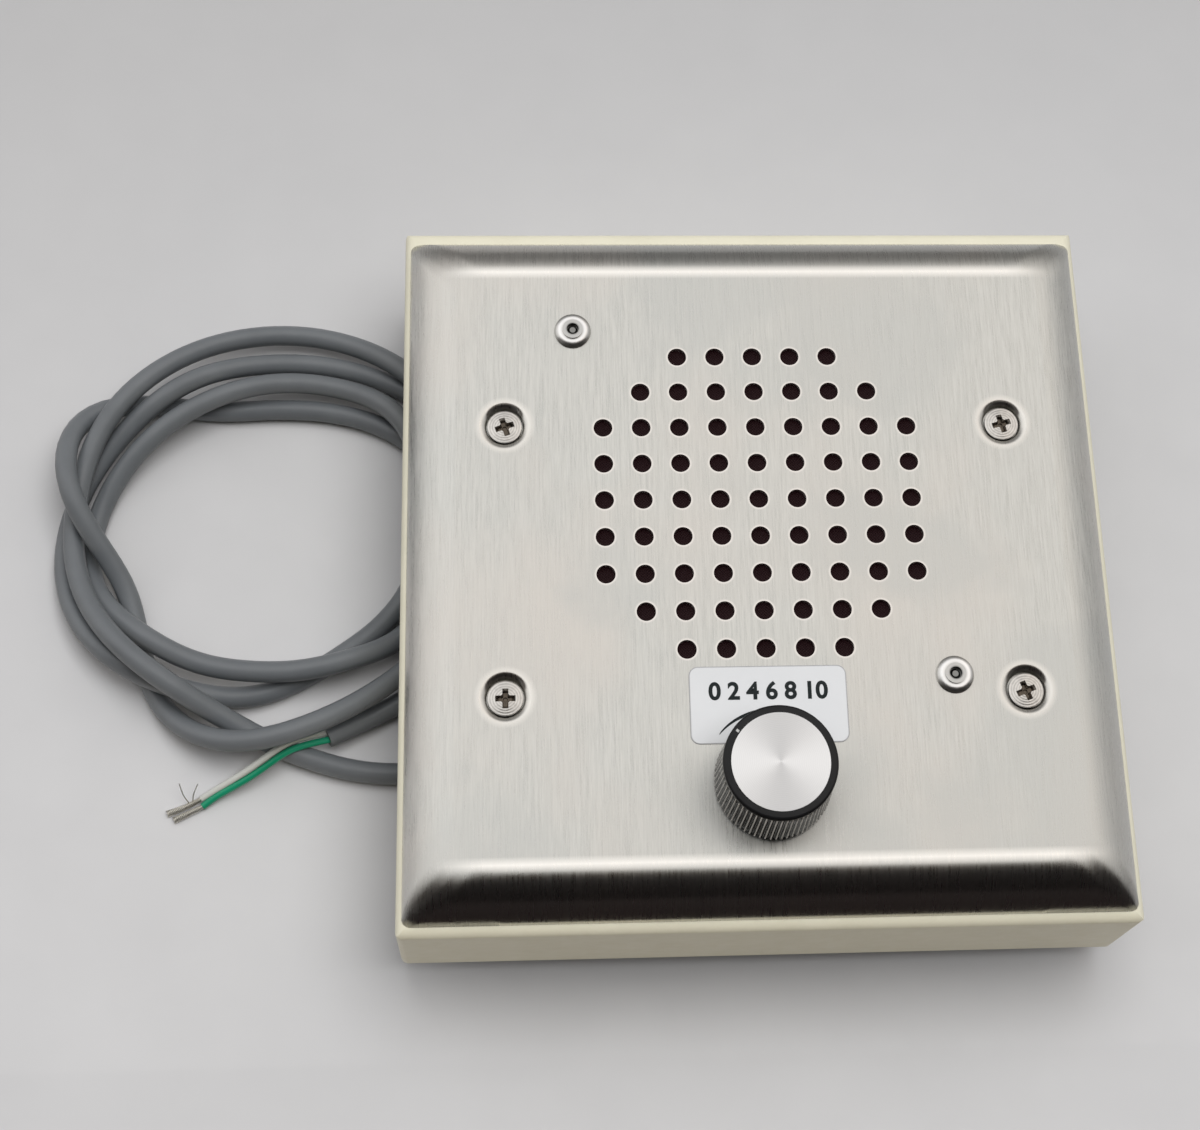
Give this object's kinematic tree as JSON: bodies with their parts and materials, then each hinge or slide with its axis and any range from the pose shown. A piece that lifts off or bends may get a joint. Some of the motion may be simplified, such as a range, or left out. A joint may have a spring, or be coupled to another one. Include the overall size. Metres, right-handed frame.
{
  "type": "wall speaker",
  "caption": "Two-gang wall speaker: punched stainless faceplate with a turning volume knob on a folded steel surface box, loudspeaker inside, with a heaped cable.",
  "frame": {"origin": "under the middle of the surface box, on the surface that the magnet's back plate rests on", "axes": "+Z out of the faceplate, +Y to the top of the plate as it hangs on a wall, +X to the right seen from the front"},
  "size_m": [0.1796, 0.1206, 0.0522],
  "materials": {
    "box_paint": "satin",
    "galvanised": "satin",
    "zinc_screw": "bright",
    "stainless": "brushed",
    "rivet_alloy": "satin",
    "label_film": "matte",
    "cloth": "woven",
    "felt": "felt",
    "basket_paint": "satin",
    "rubber_roll": "matte",
    "paper": "matte",
    "spider_cloth": "matte",
    "coil_wire": "satin",
    "plated_steel": "satin",
    "ferrite": "matte",
    "fibre_board": "matte",
    "tinned": "tinned",
    "lead_braid": "braided",
    "can_steel": "satin",
    "shaft_metal": "turned",
    "knob_black": "satin",
    "knob_disc": "spun",
    "index_white": "matte",
    "brass_part": "turned",
    "screw_black": "black oxide",
    "clip_nylon": "matte",
    "cable_jacket": "satin",
    "core_green": "satin",
    "core_white": "satin",
    "core_black": "satin",
    "strand_metal": "tinned"
  },
  "bodies": {
    "housing": {"surface_box": "box_paint", "base_plate": "galvanised", "box_screws": "zinc_screw", "faceplate": "stainless", "cover_screws": "zinc_screw", "speaker_rivets": "rivet_alloy", "volume_label": "label_film", "grille_cloth": "cloth", "speaker_gasket": "felt", "speaker_basket": "basket_paint", "surround": "rubber_roll", "spider": "spider_cloth", "top_plate": "plated_steel", "magnet": "ferrite", "pole_yoke": "plated_steel", "terminal_strip": "fibre_board", "terminal_lugs": "tinned", "tinsel_leads": "lead_braid", "pot_case": "can_steel", "pot_bushing": "plated_steel", "resistance_track": "fibre_board", "pot_lugs": "tinned", "pot_washer": "plated_steel", "pot_nut": "plated_steel", "cable_clamp": "clip_nylon", "clamp_screw": "zinc_screw", "cable_lead": "cable_jacket", "cable_coil": "cable_jacket", "conductor_green": "core_green", "conductor_white": "core_white", "conductor_strands": "strand_metal", "hookup_green": "core_green", "hookup_white": "core_white", "hookup_black": "core_black"},
    "knob": {"pot_shaft": "shaft_metal", "pot_wiper": "clip_nylon", "knob_body": "knob_black", "knob_inlay": "knob_disc", "knob_index": "index_white", "knob_insert": "brass_part", "knob_set_screw": "screw_black"},
    "cone_assembly": {"cone": "paper", "dust_cap": "paper", "voice_coil": "coil_wire"}
  },
  "joints": [
    {"name": "knob_turn", "type": "hinge", "parent": "housing", "child": "knob", "pos_m": [0, -0.0385, 0.0391], "axis": [0, 0, -1], "range_deg": [-97, 203]},
    {"name": "cone_travel", "type": "slide", "parent": "housing", "child": "cone_assembly", "axis": [0, 0, 1], "range_m": [-0.001, 0.001], "stiffness_N_per_m": 1000, "deforming": ["surround", "spider", "tinsel_leads"]}
  ]
}
